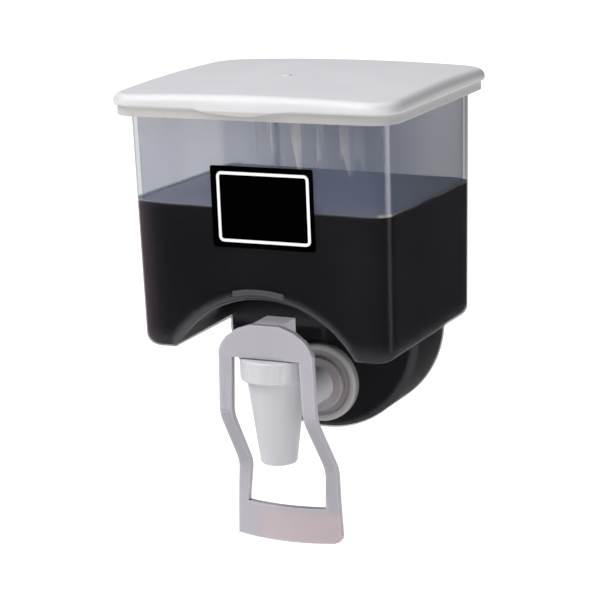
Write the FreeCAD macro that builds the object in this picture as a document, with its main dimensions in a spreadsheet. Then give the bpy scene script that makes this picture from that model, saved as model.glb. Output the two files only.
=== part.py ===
"""Wall-hung liquid feed dispenser: translucent tank, press-on lid and push-lever tap.

Row frame: X to the right, +Y back towards the wall, +Z up, millimetres.
The origin is the centre of the hanger plate's back face, where it lies on the wall.
"""

import FreeCAD, Part
import math
import os
import re

import Sketcher

DIMENSIONS = {
    # tank moulding; its heights are measured down from the rim
    "tank_width": 114.3,
    "tank_depth": 97.1,
    "tank_height": 103.5,
    "tank_draft": 1.1,
    "tank_wall": 2.0,
    "tank_corner": 10.0,
    "tank_bottom_fillet": 5.5,
    "rim_level": 74.2,
    "rim_flange": 1.2,
    "rim_flange_drop": 1.0,
    "rim_flange_height": 2.5,
    # half-round sump under the back of the floor
    "sump_radius": 43.6,
    "sump_drop": 106.0,
    "sump_front": 10.8,
    "sump_depth": 35.6,
    "sump_front_fillet": 2.8,
    "sump_back_fillet": 4.0,
    # arched recess under the front
    "arch_radius": 46.5,
    "arch_drop": 126.9,
    "arch_foot_fillet": 4.0,
    "arch_flare": 3.6,
    "arch_front": 47.1,
    # drip ledge moulded over the crown of the arch
    "ledge_inner_radius": 49.4,
    "ledge_outer_radius": 51.6,
    "ledge_half_width": 11.2,
    "ledge_reach": 1.3,
    # hanger plate and the rails that slide over it
    "wall_gap": 8.0,
    "plate_width": 58.0,
    "plate_height": 50.0,
    "plate_thickness": 3.0,
    "plate_corner": 5.0,
    "screw_spacing_across": 47.0,
    "screw_spacing_up": 36.0,
    "screw_hole_radius": 2.25,
    "screw_head_radius": 4.2,
    "screw_head_depth": 1.6,
    "tee_height": 40.0,
    "tee_neck_width": 20.0,
    "tee_neck_depth": 2.2,
    "tee_head_width": 30.0,
    "tee_head_depth": 2.5,
    "slide_gap": 0.3,
    "rail_width": 3.7,
    "rail_root": 10.2,
    "rail_stop_height": 4.0,
    # press-on lid
    "lid_overhang_side": 5.75,
    "lid_overhang_front": 6.45,
    "lid_corner": 12.7,
    "lid_edge_top": 2.8,
    "lid_crown": 1.5,
    "lid_crown_radius": 1150.0,
    "lid_roll_bottom": 2.8,
    "lid_roll_fillet": 3.4,
    "lid_skirt_bottom": 6.9,
    "lid_skirt_inset": 1.6,
    "lid_skirt_wall": 1.6,
    "lid_underside": 0.3,
    "lid_plug_gap": 0.4,
    "lid_plug_wall": 1.4,
    "lid_plug_depth": 5.0,
    "lip_half_width": 21.0,
    "lip_sag": 2.0,
    # label on the front wall
    "label_width": 44.4,
    "label_height": 32.9,
    "label_thickness": 0.5,
    "label_corner": 0.8,
    "label_right": 3.3,
    "label_drop": 42.25,
    "outline_width": 40.1,
    "outline_height": 28.5,
    "outline_line": 1.2,
    "outline_corner": 2.2,
    "outline_thickness": 0.15,
    "outline_right": 3.85,
    # tap; its heights are measured from the top of the bonnet cap
    "tap_forward": 34.0,
    "bonnet_drop": 105.6,
    "bonnet_radius": 14.6,
    "bonnet_height": 9.8,
    "bonnet_roof": 3.0,
    "bonnet_bore": 12.3,
    "bonnet_grip_depth": 0.45,
    "bonnet_grip_radius": 2.4,
    "bonnet_grips": 16,
    "neck_radius": 12.1,
    "neck_top": 4.3,
    "cone_length": 35.4,
    "tip_radius": 7.4,
    "chamber_radius": 7.4,
    "seat_drop": 30.6,
    "outlet_radius": 4.6,
    "inlet_drop": 22.8,
    "inlet_radius": 7.5,
    "inlet_bore": 4.5,
    "sump_distance": 44.8,
    "collar_radius": 11.6,
    "collar_thickness": 3.0,
    "inlet_thread_length": 12.0,
    # washers and nut at the sump wall
    "flange_radius": 17.0,
    "flange_thickness": 3.0,
    "flange_rim_width": 2.8,
    "flange_rim_rise": 1.2,
    "inner_washer_radius": 12.5,
    "washer_thickness": 2.0,
    "nut_across_flats": 24.0,
    "nut_thickness": 7.0,
    "fit_gap": 0.05,
    # valve
    "stem_radius": 3.0,
    "stem_collar_radius": 6.3,
    "stem_collar_top": 17.0,
    "stem_collar_thickness": 1.6,
    "stem_barb_top": 25.4,
    "stem_barb_radius": 2.2,
    "stem_barb_length": 3.6,
    "plug_radius": 6.5,
    "plug_gap": 0.15,
    "seal_thickness": 2.5,
    "seat_washer_thickness": 1.1,
    "spring_radius": 5.3,
    "spring_wire": 0.8,
    "spring_turns": 5.5,
    # lever; heights above or below the top of the bonnet cap
    "pin_rise": 8.9,
    "pin_radius": 1.5,
    "head_radius": 3.8,
    "head_half_width": 2.5,
    "lever_thickness": 3.0,
    "lever_front": 8.7,
    "lever_back": 9.0,
    "lever_foot_rise": 0.5,
    "gable_rise": 14.4,
    "gable_half_width": 6.5,
    "slope_rise": 12.2,
    "slope_half_width": 12.8,
    "shoulder_rise": 8.8,
    "shoulder_half_width": 17.5,
    "shoulder_low_rise": 5.9,
    "shoulder_low_half_width": 19.6,
    "arm_top_rise": 3.0,
    "arm_top_out": 20.8,
    "arm_top_in": 15.0,
    "kink_top": 24.0,
    "kink_top_out": 21.4,
    "kink_top_in": 16.0,
    "kink_bottom": 49.3,
    "kink_bottom_out": 22.2,
    "kink_bottom_in": 17.0,
    "bar_top": 65.9,
    "bar_bottom": 81.0,
    "bar_top_out": 22.95,
    "bar_out": 23.65,
    "bar_in": 17.7,
    "bar_bow": 4.5,
    "block_half_width": 6.5,
    "block_back": 6.5,
    "block_bottom": 4.0,
    "block_front_wall": 2.0,
    "block_roof": 1.3,
}

doc = FreeCAD.newDocument("dispenser")
sheet = doc.addObject("Spreadsheet::Sheet", "Dims")
for row, (alias, value) in enumerate(DIMENSIONS.items(), start=1):
    sheet.set(f"A{row}", alias)
    sheet.set(f"B{row}", str(value))
    sheet.setAlias(f"B{row}", alias)
doc.recompute()


def bound(text):
    """An expression in which every alias is read from the sheet."""
    return re.sub(r"[a-z_]+", lambda m: f"Dims.{m[0]}" if m[0] in DIMENSIONS else m[0], text)


def number(text):
    """The present value of an expression, for starting positions and for code that can't take one."""
    return float(sheet.evalExpression(bound(text)))


def bind(target, **expressions):
    """Ties the named properties of an object to the sheet."""
    for name, text in expressions.items():
        target.setExpression(name, bound(text))


def place(target, x="0", y="0", z="0"):
    """Ties an object's position to the sheet."""
    for axis, text in zip("xyz", (x, y, z)):
        target.setExpression(f"Placement.Base.{axis}", bound(text))


def new_body(label):
    body = doc.addObject("PartDesign::Body", label)
    body.Label = label
    return body


def new_sketch(body, role, offset="0"):
    """A sketch on one of the body's own origin planes, moved along the plane's normal."""
    plane = next(item for item in body.Origin.OriginFeatures if item.Role == role)
    sketch = body.newObject("Sketcher::SketchObject", f"{body.Name}_sketch")
    sketch.AttachmentSupport = [(plane, "")]
    sketch.MapMode = "FlatFace"
    sketch.setExpression("AttachmentOffset.Base.z", bound(offset))
    return sketch


def pin_point(sketch, geometry, end, x, y):
    """Ties one point of a sketch to a pair of expressions."""
    for kind, text in (("DistanceX", x), ("DistanceY", y)):
        value = number(text)
        if abs(value) < 1e-9:
            line = -2 if kind == "DistanceX" else -1
            sketch.addConstraint(Sketcher.Constraint("PointOnObject", geometry, end, line))
            continue
        index = sketch.addConstraint(Sketcher.Constraint(kind, geometry, end, value))
        sketch.setExpression(f"Constraints[{index}]", bound(text))


def add_outline(sketch, points):
    """A closed polygon through the given pairs of expressions."""
    corners = [FreeCAD.Vector(number(x), number(y), 0) for x, y in points]
    first = sketch.GeometryCount
    count = len(corners)
    for i in range(count):
        sketch.addGeometry(Part.LineSegment(corners[i], corners[(i + 1) % count]), False)
    for i in range(count):
        following = first + (i + 1) % count
        sketch.addConstraint(Sketcher.Constraint("Coincident", first + i, 2, following, 1))
        pin_point(sketch, first + i, 1, *points[i])


def add_rectangle(sketch, left, bottom, right, top):
    add_outline(sketch, [(left, bottom), (right, bottom), (right, top), (left, top)])


def add_circle(sketch, radius, x="0", y="0"):
    centre = FreeCAD.Vector(number(x), number(y), 0)
    circle = Part.Circle(centre, FreeCAD.Vector(0, 0, 1), number(radius))
    index = sketch.addGeometry(circle, False)
    size = sketch.addConstraint(Sketcher.Constraint("Radius", index, number(radius)))
    sketch.setExpression(f"Constraints[{size}]", bound(radius))
    pin_point(sketch, index, 3, x, y)


def add_rounded_rectangle(sketch, half_width, half_height, radius):
    """A rectangle about the sketch's origin whose corners are arcs."""
    a, b, r = number(half_width), number(half_height), number(radius)
    first = sketch.GeometryCount
    quarter = math.pi / 2
    for turn in range(4):
        right = turn in (0, 3)
        upper = turn in (0, 1)
        centre = FreeCAD.Vector(a - r if right else r - a, b - r if upper else r - b, 0)
        circle = Part.Circle(centre, FreeCAD.Vector(0, 0, 1), r)
        sketch.addGeometry(Part.ArcOfCircle(circle, turn * quarter, (turn + 1) * quarter), False)
        size = sketch.addConstraint(Sketcher.Constraint("Radius", first + turn, r))
        sketch.setExpression(f"Constraints[{size}]", bound(radius))
        x_text = f"({half_width}) - ({radius})" if right else f"({radius}) - ({half_width})"
        y_text = f"({half_height}) - ({radius})" if upper else f"({radius}) - ({half_height})"
        pin_point(sketch, first + turn, 3, x_text, y_text)
    for turn in range(4):
        start = sketch.Geometry[first + turn].EndPoint
        end = sketch.Geometry[first + (turn + 1) % 4].StartPoint
        line = sketch.addGeometry(Part.LineSegment(start, end), False)
        arc, next_arc = first + turn, first + (turn + 1) % 4
        sketch.addConstraint(Sketcher.Constraint("Tangent", arc, 2, line, 1))
        sketch.addConstraint(Sketcher.Constraint("Tangent", line, 2, next_arc, 1))


def extrude(kind, sketch, length, forward=True, draft="0"):
    """A Pad or Pocket of a sketch; forward is along the sketch plane's own normal."""
    body = sketch.getParentGeoFeatureGroup()
    feature = body.newObject(f"PartDesign::{kind}", f"{body.Name}_{kind.lower()}")
    feature.Profile = sketch
    bind(feature, Length=length, TaperAngle=draft)
    feature.Reversed = forward if kind == "Pocket" else not forward
    before = 0 if feature.BaseFeature is None else feature.BaseFeature.Shape.Volume
    doc.recompute()
    change = feature.Shape.Volume - before
    if (change <= 0) if kind == "Pad" else (change >= 0):
        raise RuntimeError(f"{feature.Name} changed the volume by {change:.3f} mm3")
    return feature


def pad(sketch, length, forward=True, draft="0"):
    return extrude("Pad", sketch, length, forward, draft)


def pocket(sketch, length, forward=True, draft="0"):
    return extrude("Pocket", sketch, length, forward, draft)


def turned(label, role, points):
    """A body of revolution: a closed outline turned about the sketch's vertical axis."""
    body = new_body(label)
    sketch = new_sketch(body, role)
    add_outline(sketch, points)
    revolve(body, sketch)
    return body


def revolve(body, sketch):
    feature = body.newObject("PartDesign::Revolution", f"{body.Name}_turn")
    feature.Profile = sketch
    feature.ReferenceAxis = (sketch, ["V_Axis"])
    feature.Angle = 360
    doc.recompute()
    return feature


def edges_where(shape, test):
    """Names of the edges whose sampled points all pass the test."""
    names = []
    for index, edge in enumerate(shape.Edges, start=1):
        low, high = edge.ParameterRange
        samples = [edge.valueAt(low + (high - low) * part / 4) for part in range(5)]
        if all(test(point) for point in samples):
            names.append(f"Edge{index}")
    return names


def round_edges(body, radius, test):
    """A fillet on the edges of the body's tip that pass the test."""
    base = body.Tip
    names = edges_where(base.Shape, test)
    if not names:
        raise RuntimeError(f"{body.Label} has no edge to round with {radius}")
    feature = body.newObject("PartDesign::Fillet", f"{body.Name}_fillet")
    feature.Base = (base, names)
    bind(feature, Radius=radius)
    doc.recompute()
    return feature


def cylinder_along_y(name, radius, length, y, z):
    """A Part::Cylinder whose axis runs back along +Y from the given point."""
    solid = doc.addObject("Part::Cylinder", name)
    bind(solid, Radius=radius, Height=length)
    solid.Placement.Rotation = FreeCAD.Rotation(FreeCAD.Vector(1, 0, 0), -90)
    place(solid, "0", y, z)
    doc.recompute()
    return solid


def boolean(kind, label, base, tool):
    feature = doc.addObject(f"Part::{kind}", label)
    feature.Base = base
    feature.Tool = tool
    feature.Label = label
    doc.recompute()
    return feature


def fuse_all(label, pieces):
    feature = doc.addObject("Part::MultiFuse", label)
    feature.Shapes = pieces
    feature.Label = label
    feature.Refine = True
    doc.recompute()
    return feature


def box(name, low, high):
    """A Part::Box between two corners given as expressions."""
    solid = doc.addObject("Part::Box", name)
    sizes = [f"({end}) - ({start})" for start, end in zip(low, high)]
    bind(solid, Length=sizes[0], Width=sizes[1], Height=sizes[2])
    place(solid, *low)
    doc.recompute()
    return solid


TANK_Y = "-(wall_gap + tank_depth / 2)"
TAP_Y = f"{TANK_Y} - tap_forward"
BONNET_Z = "rim_level - bonnet_drop"
NEAR = 0.02


# ---------------------------------------------------------------- tank


def drafted_box(label, inset, depth, fillet):
    """The tank's upright form, narrowing downwards; inset is how far it lies inside the outer face."""
    body = new_body(label)
    sketch = new_sketch(body, "XY_Plane")
    half_width = f"tank_width / 2 - ({inset})"
    half_depth = f"tank_depth / 2 - ({inset})"
    add_rounded_rectangle(sketch, half_width, half_depth, f"tank_corner - ({inset})")
    pad(sketch, depth, forward=False, draft="-tank_draft")
    floor = -number(depth)
    round_edges(body, fillet, lambda p: abs(p.z - floor) < NEAR)
    return body


def sump_drum(label, inset):
    """The round form behind the tap: a short drum about a horizontal axis, with rounded rims."""
    radius = f"sump_radius - ({inset})"
    near, far = inset, f"sump_depth - ({inset})"
    body = turned(label, "XY_Plane", [("0", near), (radius, near), (radius, far), ("0", far)])
    start, end = number(near), number(far)
    rim = number(radius)

    def at_rim(p, y):
        return abs(p.y - y) < NEAR and abs(math.hypot(p.x, p.z) - rim) < NEAR

    round_edges(body, f"sump_front_fillet - ({inset}) / 2", lambda p: at_rim(p, start))
    round_edges(body, f"sump_back_fillet - ({inset}) / 2", lambda p: at_rim(p, end))
    place(body, "0", "sump_front", "-sump_drop")
    return body


def arch_recess(name, inset):
    """The arched recess with its rounded feet, from in front of the tank to the sump's front wall."""
    front = "-tank_depth"
    length = f"tank_depth + sump_front + ({inset})"
    arch = cylinder_along_y(f"{name}_arch", f"arch_radius + ({inset})", length, front, "-arch_drop")
    foot = f"arch_foot_fillet - ({inset}) / 2"
    floor = f"tank_height - ({inset})"
    rise = f"(arch_drop - ({floor}) + ({foot}))"
    reach = f"(arch_radius + ({inset}) + ({foot}))"
    centre_x = f"sqrt({reach} ^ 2 - {rise} ^ 2)"
    top = f"({rise}) * (arch_radius + ({inset})) / {reach} - arch_drop"
    back = f"{front} + {length}"
    low, high = (f"-{centre_x}", front, "-arch_drop"), (centre_x, back, top)
    base = box(f"{name}_base", low, high)
    for side in ("-", ""):
        rounding = cylinder_along_y(f"{name}_foot", foot, length, front, f"({foot}) - ({floor})")
        place(rounding, f"{side}{centre_x}", front, f"({foot}) - ({floor})")
        base = boolean("Cut", f"{name}_base", base, rounding)
    return boolean("Fuse", name, arch, base)


def arch_mouth():
    """The ring that rounds the arch's front edge: a short tube with a torus taken out of it."""
    reach = "2 * arch_flare"
    front = "-arch_front - arch_flare"
    outer = cylinder_along_y("mouth_outer", "arch_radius + arch_flare", reach, front, "-arch_drop")
    inner = cylinder_along_y("mouth_inner", "arch_radius - tank_wall", reach, front, "-arch_drop")
    tube = boolean("Cut", "mouth_tube", outer, inner)
    torus = doc.addObject("Part::Torus", "mouth_torus")
    bind(torus, Radius1="arch_radius + arch_flare - fit_gap", Radius2="arch_flare")
    torus.Placement.Rotation = FreeCAD.Rotation(FreeCAD.Vector(1, 0, 0), -90)
    place(torus, "0", "arch_flare - arch_front", "-arch_drop")
    return boolean("Cut", "arch_mouth", tube, torus)


def crown_ledge():
    """A narrow drip ledge that follows the arch over its crown."""
    front = "-arch_front - ledge_reach"
    reach = "ledge_reach + tank_wall / 2"
    outer = cylinder_along_y("ledge_outer", "ledge_outer_radius", reach, front, "-arch_drop")
    inner = cylinder_along_y("ledge_inner", "ledge_inner_radius", reach, front, "-arch_drop")
    ring = boolean("Cut", "ledge_ring", outer, inner)
    low = ("-ledge_half_width", front, "-arch_drop")
    high = ("ledge_half_width", "0", "0")
    return boolean("Common", "crown_ledge", ring, box("ledge_span", low, high))


def rim_flange():
    body = new_body("rim_flange")
    sketch = new_sketch(body, "XY_Plane", "-rim_flange_drop")
    half_width, half_depth = "tank_width / 2 + rim_flange", "tank_depth / 2 + rim_flange"
    add_rounded_rectangle(sketch, half_width, half_depth, "tank_corner + rim_flange")
    pad(sketch, "rim_flange_height", forward=False)
    return body


def hanger_rails():
    """Two lipped rails and a stop bar on the back, which slide down over the plate's tee."""
    wall = "tank_depth / 2 + wall_gap"
    back = f"{wall} - plate_thickness - slide_gap"
    lip_front = f"{wall} - plate_thickness - tee_neck_depth + slide_gap"
    root = f"{wall} - rail_root"
    centre = "-rim_level"
    low, top = f"{centre} - tee_height / 2", f"{centre} + tee_height / 2 + slide_gap"
    inside = "tee_head_width / 2 + slide_gap"
    lip = "tee_neck_width / 2 + slide_gap"
    outside = f"{inside} + rail_width"
    pieces = []
    for side, sign in (("left", "-1"), ("right", "1")):
        spans = {"post": (inside, outside, root), "lip": (lip, outside, lip_front)}
        for name, (near, far, front) in spans.items():
            ends = [f"{sign} * ({near})", f"{sign} * ({far})"]
            start, end = ends if sign == "1" else ends[::-1]
            pieces.append(box(f"{side}_{name}", (start, front, low), (end, back, top)))
    stop_low = (f"-({outside})", root, top)
    stop_high = (outside, back, f"{top} + rail_stop_height")
    pieces.append(box("rail_stop", stop_low, stop_high))
    return fuse_all("hanger_rails", pieces)


def tank_outside():
    body = drafted_box("tank_box", "0", "tank_height", "tank_bottom_fillet")
    box_with_mouth = boolean("Cut", "box_with_mouth", body, arch_mouth())
    arched_box = boolean("Cut", "arched_box", box_with_mouth, arch_recess("recess", "0"))
    extras = [sump_drum("sump_outside", "0"), crown_ledge(), rim_flange(), hanger_rails()]
    return fuse_all("tank_outside", [arched_box, *extras])


def tank():
    """The shell: outer form less the cavity and the hole for the tap's inlet."""
    outside = tank_outside()
    inner_fillet = "tank_bottom_fillet - tank_wall / 2"
    cavity_box = drafted_box("cavity_box", "tank_wall", "tank_height - tank_wall", inner_fillet)
    arched_cavity = boolean("Cut", "arched_cavity", cavity_box, arch_recess("cover", "tank_wall"))
    cavity = boolean("Fuse", "tank_cavity", arched_cavity, sump_drum("sump_cavity", "tank_wall"))
    shell = boolean("Cut", "tank_shell", outside, cavity)
    hole_z = "-bonnet_drop - inlet_drop"
    hole_y = "sump_front - tank_wall"
    hole = cylinder_along_y("inlet_hole", "inlet_radius + fit_gap", "3 * tank_wall", hole_y, hole_z)
    moulding = boolean("Cut", "tank", shell, hole)
    place(moulding, "0", TANK_Y, "rim_level")
    return moulding


# ---------------------------------------------------------------- hanger, lid and label


def wall_plate():
    """Screw-on hanger: a flat plate with a tee-shaped tongue that the tank's rails slide over."""
    body = new_body("wall_plate")
    sketch = new_sketch(body, "XZ_Plane")
    add_rounded_rectangle(sketch, "plate_width / 2", "plate_height / 2", "plate_corner")
    pad(sketch, "plate_thickness")
    spans = (("tee_neck_width", "plate_thickness", "tee_neck_depth"),
             ("tee_head_width", "plate_thickness + tee_neck_depth", "tee_head_depth"))
    for width, start, depth in spans:
        sketch = new_sketch(body, "XZ_Plane", start)
        add_rectangle(sketch, f"-{width} / 2", "-tee_height / 2", f"{width} / 2", "tee_height / 2")
        pad(sketch, depth)
    sinks = (("0", "screw_hole_radius", "plate_thickness"),
             ("plate_thickness - screw_head_depth", "screw_head_radius", "screw_head_depth"))
    for start, radius, depth in sinks:
        sketch = new_sketch(body, "XZ_Plane", start)
        for across in ("-", ""):
            for up in ("-", ""):
                x, z = f"{across}screw_spacing_across / 2", f"{up}screw_spacing_up / 2"
                add_circle(sketch, radius, x, z)
        pocket(sketch, depth, forward=True)
    return body


def lid_layer(name, growth, corner, bottom, height):
    """One rounded rectangular layer of the lid; growth is how far its sides and front pass the tank's."""
    side, front = growth
    body = new_body(name)
    sketch = new_sketch(body, "XY_Plane", bottom)
    half_width, half_depth = f"tank_width / 2 + {side}", f"tank_depth / 2 + {front}"
    add_rounded_rectangle(sketch, half_width, half_depth, corner)
    pad(sketch, height)
    return body


def lid_growth(inset):
    """How far a layer passes the tank when it lies the given distance inside the lid's edge."""
    return f"lid_overhang_side - ({inset})", f"lid_overhang_front - ({inset})"


def finger_lip():
    """The stretch of the rolled edge that dips at the front, for lifting the lid with a finger."""
    radius = "(lip_half_width ^ 2 + lip_sag ^ 2) / (2 * lip_sag)"
    front = "-(tank_depth / 2 + lid_overhang_front)"
    centre = f"{radius} - lip_sag - lid_roll_bottom"
    reach = "lid_skirt_inset + lid_skirt_wall / 2"
    curve = cylinder_along_y("lip_curve", radius, reach, front, centre)
    low = ("-lip_half_width", front, "-lid_skirt_bottom")
    high = ("lip_half_width", f"{front} + {reach}", "lid_underside - lid_roll_bottom")
    return boolean("Common", "finger_lip", curve, box("lip_span", low, high))


def lid():
    """Press-on lid: crowned top, rolled edge, skirt outside the rim and plug ring inside it."""
    top = "lid_edge_top + lid_crown"
    roll_height = f"{top} + lid_roll_bottom"
    block = lid_layer("lid_block", lid_growth("0"), "lid_corner", "-lid_roll_bottom", roll_height)
    dome = doc.addObject("Part::Sphere", "lid_dome")
    bind(dome, Radius="lid_crown_radius")
    place(dome, "0", "0", f"{top} - lid_crown_radius")
    crowned = boolean("Common", "lid_crowned", block, dome)
    rounded = doc.addObject("Part::Fillet", "lid_rounded")
    rounded.Base = crowned
    upper = number("lid_edge_top") - 2 * number("lid_crown")
    roll = number("lid_roll_fillet")
    small = number("lid_skirt_wall") / 2
    edges = []
    for index, edge in enumerate(crowned.Shape.Edges, start=1):
        if edge.BoundBox.ZMin > upper:
            edges.append((index, roll, roll))
        elif edge.BoundBox.ZMax < -number("lid_roll_bottom") + NEAR:
            edges.append((index, small, small))
    rounded.Edges = edges
    doc.recompute()
    skirt_height = "lid_skirt_bottom - lid_roll_bottom + lid_skirt_wall"
    skirt_corner = "lid_corner - lid_skirt_inset"
    skirt = lid_layer("lid_skirt", lid_growth("lid_skirt_inset"), skirt_corner,
                      "-lid_skirt_bottom", skirt_height)
    solid = fuse_all("lid_solid", [rounded, skirt, finger_lip()])
    hollow_height = "lid_skirt_bottom + lid_underside"
    inset = "lid_skirt_inset + lid_skirt_wall"
    hollow = lid_layer("lid_hollow", lid_growth(inset), f"lid_corner - ({inset})",
                       "-lid_skirt_bottom", hollow_height)
    shell = boolean("Cut", "lid_shell", solid, hollow)
    plug_growth = ["-(tank_wall + lid_plug_gap)"] * 2
    bore_growth = ["-(tank_wall + lid_plug_gap + lid_plug_wall)"] * 2
    plug_corner = "tank_corner - tank_wall - lid_plug_gap"
    plug_bottom = "lid_underside - lid_plug_depth"
    plug = lid_layer("lid_plug", plug_growth, plug_corner, plug_bottom, "lid_plug_depth + lid_crown / 2")
    inner = lid_layer("lid_plug_bore", bore_growth, f"{plug_corner} - lid_plug_wall",
                      plug_bottom, "lid_plug_depth")
    ring = boolean("Cut", "lid_plug_ring", plug, inner)
    whole = fuse_all("lid", [shell, ring])
    place(whole, "0", TANK_Y, "rim_level")
    return whole


def on_front_wall(label, width, height, corner, thickness, right, lift):
    """A thin rounded plate lying on the drafted front wall, lifted off it by the given gap."""
    body = new_body(label)
    sketch = new_sketch(body, "XZ_Plane", lift)
    add_rounded_rectangle(sketch, f"{width} / 2", f"{height} / 2", corner)
    pad(sketch, thickness)
    body.Placement.Rotation = FreeCAD.Rotation(FreeCAD.Vector(1, 0, 0), number("tank_draft"))
    wall = f"{TANK_Y} - tank_depth / 2 + label_drop * tan(tank_draft * 1 deg)"
    place(body, right, wall, "rim_level - label_drop")
    return body


def label_plate():
    return on_front_wall("label_plate", "label_width", "label_height", "label_corner",
                         "label_thickness", "label_right", "0")


def label_outline():
    """The line frame printed on the label: a rounded rectangle with its middle taken out."""
    body = on_front_wall("label_outline", "outline_width", "outline_height", "outline_corner",
                         "outline_thickness", "outline_right", "label_thickness")
    sketch = new_sketch(body, "XZ_Plane", "label_thickness")
    half_width = "outline_width / 2 - outline_line"
    half_height = "outline_height / 2 - outline_line"
    add_rounded_rectangle(sketch, half_width, half_height, "outline_corner - outline_line")
    pocket(sketch, "outline_thickness", forward=True)
    return body


# ---------------------------------------------------------------- tap


def at_tap(body):
    """Stands a piece on the valve axis, with its own origin at the top of the bonnet cap."""
    place(body, "0", TAP_Y, BONNET_Z)
    return body


def tap_body():
    """Cone spout with the valve chamber, the inlet tube behind it and the collar at the sump."""
    cone = turned("tap_cone", "XZ_Plane", [
        ("0", "-neck_top"), ("neck_radius", "-neck_top"), ("neck_radius", "-bonnet_height"),
        ("tip_radius", "-(bonnet_height + cone_length)"), ("0", "-(bonnet_height + cone_length)")])
    tube = turned("tap_tube", "XY_Plane", [
        ("0", "0"), ("inlet_radius", "0"),
        ("inlet_radius", "sump_distance - flange_thickness - collar_thickness"),
        ("collar_radius", "sump_distance - flange_thickness - collar_thickness"),
        ("collar_radius", "sump_distance - flange_thickness"),
        ("inlet_radius", "sump_distance - flange_thickness"),
        ("inlet_radius", "sump_distance + inlet_thread_length"),
        ("0", "sump_distance + inlet_thread_length")])
    place(tube, "0", "0", "-inlet_drop")
    solid = boolean("Fuse", "tap_solid", cone, tube)
    chamber = turned("tap_chamber", "XZ_Plane", [
        ("0", "0"), ("chamber_radius", "0"), ("chamber_radius", "-seat_drop"),
        ("outlet_radius", "-seat_drop"), ("outlet_radius", "-(bonnet_height + cone_length + 1)"),
        ("0", "-(bonnet_height + cone_length + 1)")])
    inlet = cylinder_along_y("tap_inlet", "inlet_bore", "2 * sump_distance", "0", "-inlet_drop")
    bores = boolean("Fuse", "tap_bores", chamber, inlet)
    return at_tap(boolean("Cut", "tap_body", solid, bores))


def bonnet_cap():
    """Screw cap over the chamber, with shallow upright grip flutes round its side."""
    bevel = "bonnet_roof / 3"
    body = turned("bonnet_cap", "XZ_Plane", [
        ("stem_radius + 2 * fit_gap", "0"), (f"bonnet_radius - {bevel} / 2", "0"),
        ("bonnet_radius", f"-{bevel} / 2"), ("bonnet_radius", f"{bevel} - bonnet_height"),
        (f"bonnet_radius - {bevel}", "-bonnet_height"), ("bonnet_bore", "-bonnet_height"),
        ("bonnet_bore", "-bonnet_roof"), ("stem_radius + 2 * fit_gap", "-bonnet_roof")])
    sketch = new_sketch(body, "XY_Plane", "-bonnet_height")
    flute_centre = "bonnet_radius + bonnet_grip_radius - bonnet_grip_depth"
    add_circle(sketch, "bonnet_grip_radius", flute_centre, "0")
    flute = pocket(sketch, "bonnet_height - bonnet_roof / 2", forward=True)
    pattern = body.newObject("PartDesign::PolarPattern", "grip_pattern")
    pattern.Originals = [flute]
    pattern.Axis = (next(a for a in body.Origin.OriginFeatures if a.Role == "Z_Axis"), [""])
    pattern.Angle = 360
    bind(pattern, Occurrences="bonnet_grips")
    body.Tip = pattern
    doc.recompute()
    return at_tap(body)


def ring(label, inner, outer, top, bottom):
    """A flat ring about the valve axis, between two depths below the bonnet's top."""
    upper, lower = f"-({top})", f"-({bottom})"
    corners = [(inner, upper), (outer, upper), (outer, lower), (inner, lower)]
    return at_tap(turned(label, "XZ_Plane", corners))


def wall_ring(label, inner, outer, start, end):
    """A flat ring about the inlet's axis, between two distances behind the valve axis."""
    body = turned(label, "XY_Plane", [(inner, start), (outer, start), (outer, end), (inner, end)])
    place(body, "0", TAP_Y, f"{BONNET_Z} - inlet_drop")
    return body


SEAL_BOTTOM = "bonnet_roof + fit_gap + seal_thickness"
SPRING_TOP = f"{SEAL_BOTTOM} + fit_gap + seat_washer_thickness"


def outer_seal_washer():
    """The round flange against the sump: a disc with a raised rim round the tap's collar."""
    rim_front = "sump_distance - flange_thickness - flange_rim_rise"
    rim_inner = "flange_radius - flange_rim_width"
    body = turned("outer_seal_washer", "XY_Plane", [
        ("inlet_radius + fit_gap", "sump_distance - flange_thickness"),
        (rim_inner, "sump_distance - flange_thickness"), (rim_inner, rim_front),
        ("flange_radius", rim_front), ("flange_radius", "sump_distance"),
        ("inlet_radius + fit_gap", "sump_distance")])
    place(body, "0", TAP_Y, f"{BONNET_Z} - inlet_drop")
    rim = number("flange_radius"), number(rim_front)
    round_edges(body, "flange_rim_rise / 2",
                lambda p: abs(math.hypot(p.x, p.z) - rim[0]) < NEAR and abs(p.y - rim[1]) < NEAR)
    return body


def inner_seal_washer():
    start = "sump_distance + tank_wall"
    return wall_ring("inner_seal_washer", "inlet_radius + fit_gap", "inner_washer_radius",
                     start, f"{start} + washer_thickness")


def lock_nut():
    """Hexagonal nut on the inlet's thread, inside the sump."""
    body = new_body("lock_nut")
    start = "sump_distance + tank_wall + washer_thickness"
    sketch = new_sketch(body, "XZ_Plane", f"-({start})")
    corners = []
    for turn in range(6):
        angle = f"{60 * turn} deg"
        corner = "(nut_across_flats / sqrt(3))"
        corners.append((f"{corner} * cos({angle})", f"{corner} * sin({angle})"))
    add_outline(sketch, corners)
    pad(sketch, "nut_thickness", forward=False)
    sketch = new_sketch(body, "XZ_Plane", f"-({start})")
    add_circle(sketch, "inlet_radius + fit_gap")
    pocket(sketch, "nut_thickness", forward=False)
    place(body, "0", TAP_Y, f"{BONNET_Z} - inlet_drop")
    return body


def bonnet_seal():
    return ring("bonnet_seal", "chamber_radius + fit_gap", "neck_radius - fit_gap",
                "bonnet_roof + fit_gap", "neck_top - fit_gap")


def stem_seal():
    return ring("stem_seal", "stem_radius + fit_gap", "chamber_radius - fit_gap",
                "bonnet_roof + fit_gap", SEAL_BOTTOM)


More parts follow.
